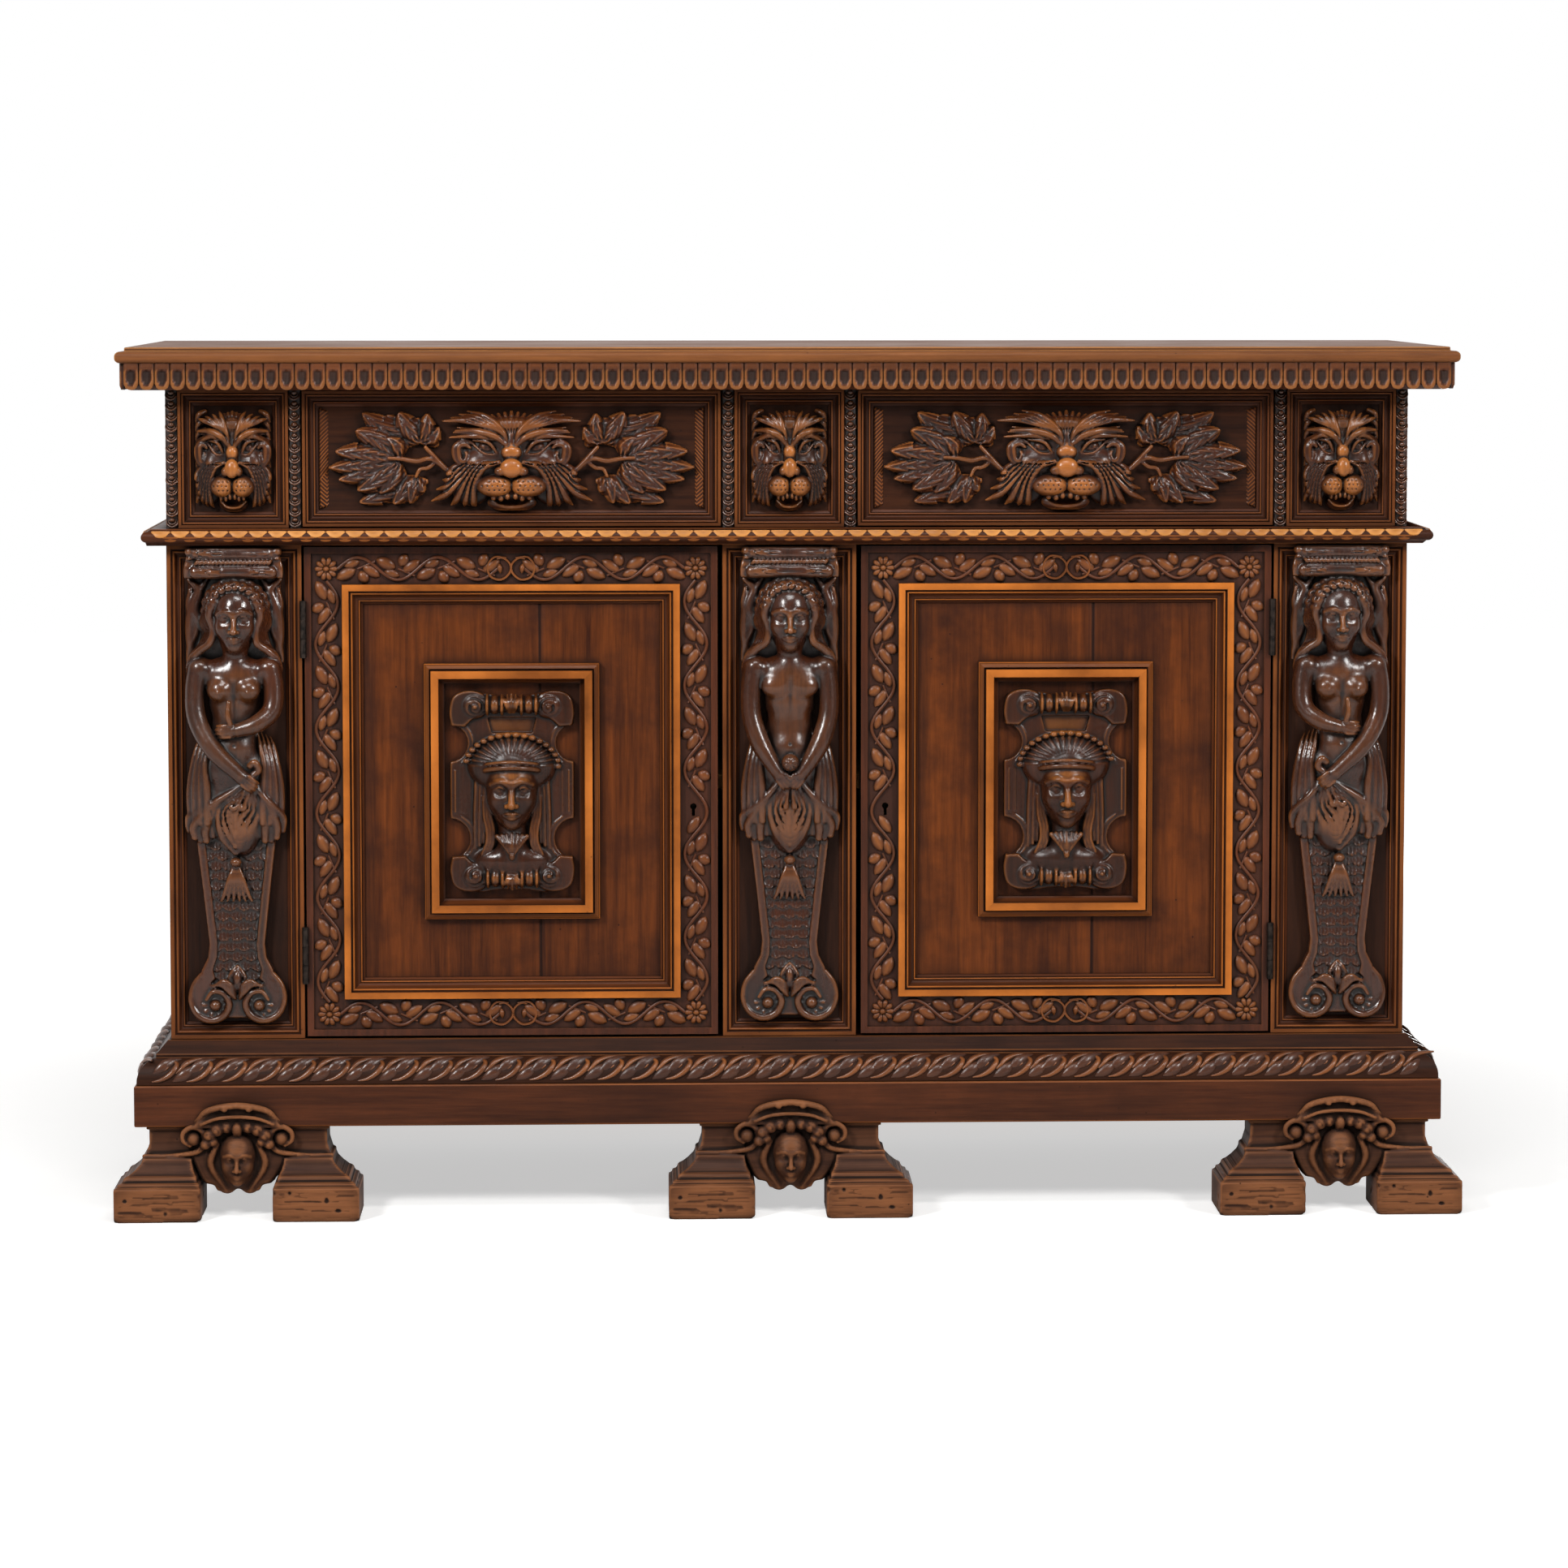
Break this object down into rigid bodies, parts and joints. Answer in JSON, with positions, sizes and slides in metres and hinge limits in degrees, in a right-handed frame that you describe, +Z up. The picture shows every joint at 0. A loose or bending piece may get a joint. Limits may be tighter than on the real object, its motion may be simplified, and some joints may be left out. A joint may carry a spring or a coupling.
{
  "type": "console cabinet",
  "caption": "Carved walnut console cabinet: lion-mask drawers above framed cupboard doors, between pilasters with term figures, on a moulded base with bracket feet.",
  "frame": {"origin": "on the floor, under the middle of the object's box", "axes": "+X to the viewer's right, +Y from front to back, +Z up"},
  "size_m": [1.66, 0.507, 1.069],
  "materials": {
    "carved_walnut": "dark carved walnut, waxed and worn",
    "board_walnut": "dark walnut boards, waxed",
    "panel_walnut": "reddish walnut boards with upright grain, waxed",
    "worn_walnut": "worn walnut, rubbed on its blocks",
    "plain_wood": "plain unpolished secondary wood",
    "dark_iron": "dark forged iron"
  },
  "bodies": {
    "case": {"back_boards": "plain_wood", "base_moulding": "carved_walnut", "bead_strips": "carved_walnut", "bottom_board": "board_walnut", "caryatid_centre": "carved_walnut", "caryatid_left": "carved_walnut", "caryatid_right": "carved_walnut", "centre_partition": "plain_wood", "drawer_deck": "plain_wood", "drawer_guides": "plain_wood", "foot_centre": "worn_walnut", "foot_left": "worn_walnut", "foot_right": "worn_walnut", "frieze_mouldings": "carved_walnut", "frieze_panels": "board_walnut", "frieze_rail": "board_walnut", "gadroon_moulding": "carved_walnut", "hinge_pins": "dark_iron", "hinge_plates": "dark_iron", "lion_mask_centre": "carved_walnut", "lion_mask_left": "carved_walnut", "lion_mask_right": "carved_walnut", "pilaster_centre": "board_walnut", "pilaster_left": "board_walnut", "pilaster_mouldings": "carved_walnut", "pilaster_right": "board_walnut", "plinth_frame": "board_walnut", "rear_feet": "plain_wood", "shelf_cleats": "plain_wood", "shelves": "plain_wood", "side_board_left": "board_walnut", "side_board_right": "board_walnut", "top_board": "board_walnut", "waist_moulding": "carved_walnut", "waist_rail": "board_walnut"},
    "left_door": {"left_door_frame": "carved_walnut", "left_door_hinge_leaves": "dark_iron", "left_door_lock_case": "dark_iron", "left_door_moulding": "carved_walnut", "left_door_panel": "panel_walnut", "left_door_plaque": "carved_walnut", "left_door_raised_frame": "carved_walnut"},
    "left_bolt": {"left_door_lock_bolt": "dark_iron"},
    "right_door": {"right_door_frame": "carved_walnut", "right_door_hinge_leaves": "dark_iron", "right_door_lock_case": "dark_iron", "right_door_moulding": "carved_walnut", "right_door_panel": "panel_walnut", "right_door_plaque": "carved_walnut", "right_door_raised_frame": "carved_walnut"},
    "right_bolt": {"right_door_lock_bolt": "dark_iron"},
    "left_drawer": {"left_drawer_box": "plain_wood", "left_drawer_carving": "carved_walnut", "left_drawer_front": "board_walnut", "left_drawer_moulding": "carved_walnut"},
    "right_drawer": {"right_drawer_box": "plain_wood", "right_drawer_carving": "carved_walnut", "right_drawer_front": "board_walnut", "right_drawer_moulding": "carved_walnut"}
  },
  "joints": [
    {"name": "left_door_hinge", "type": "hinge", "parent": "case", "child": "left_door", "pos_m": [-0.5965, -0.1908, 0.5215], "axis": [0, 0, -1], "range_deg": [0, 100]},
    {"name": "right_door_hinge", "type": "hinge", "parent": "case", "child": "right_door", "pos_m": [0.5965, -0.1908, 0.5215], "axis": [0, 0, 1], "range_deg": [0, 100]},
    {"name": "left_bolt_slide", "type": "slide", "parent": "left_door", "child": "left_bolt", "axis": [1, 0, 0], "range_m": [0, 0.012]},
    {"name": "right_bolt_slide", "type": "slide", "parent": "right_door", "child": "right_bolt", "axis": [-1, 0, 0], "range_m": [0, 0.012]},
    {"name": "left_drawer_slide", "type": "slide", "parent": "case", "child": "left_drawer", "axis": [0, -1, 0], "range_m": [0, 0.3]},
    {"name": "right_drawer_slide", "type": "slide", "parent": "case", "child": "right_drawer", "axis": [0, -1, 0], "range_m": [0, 0.3]}
  ]
}
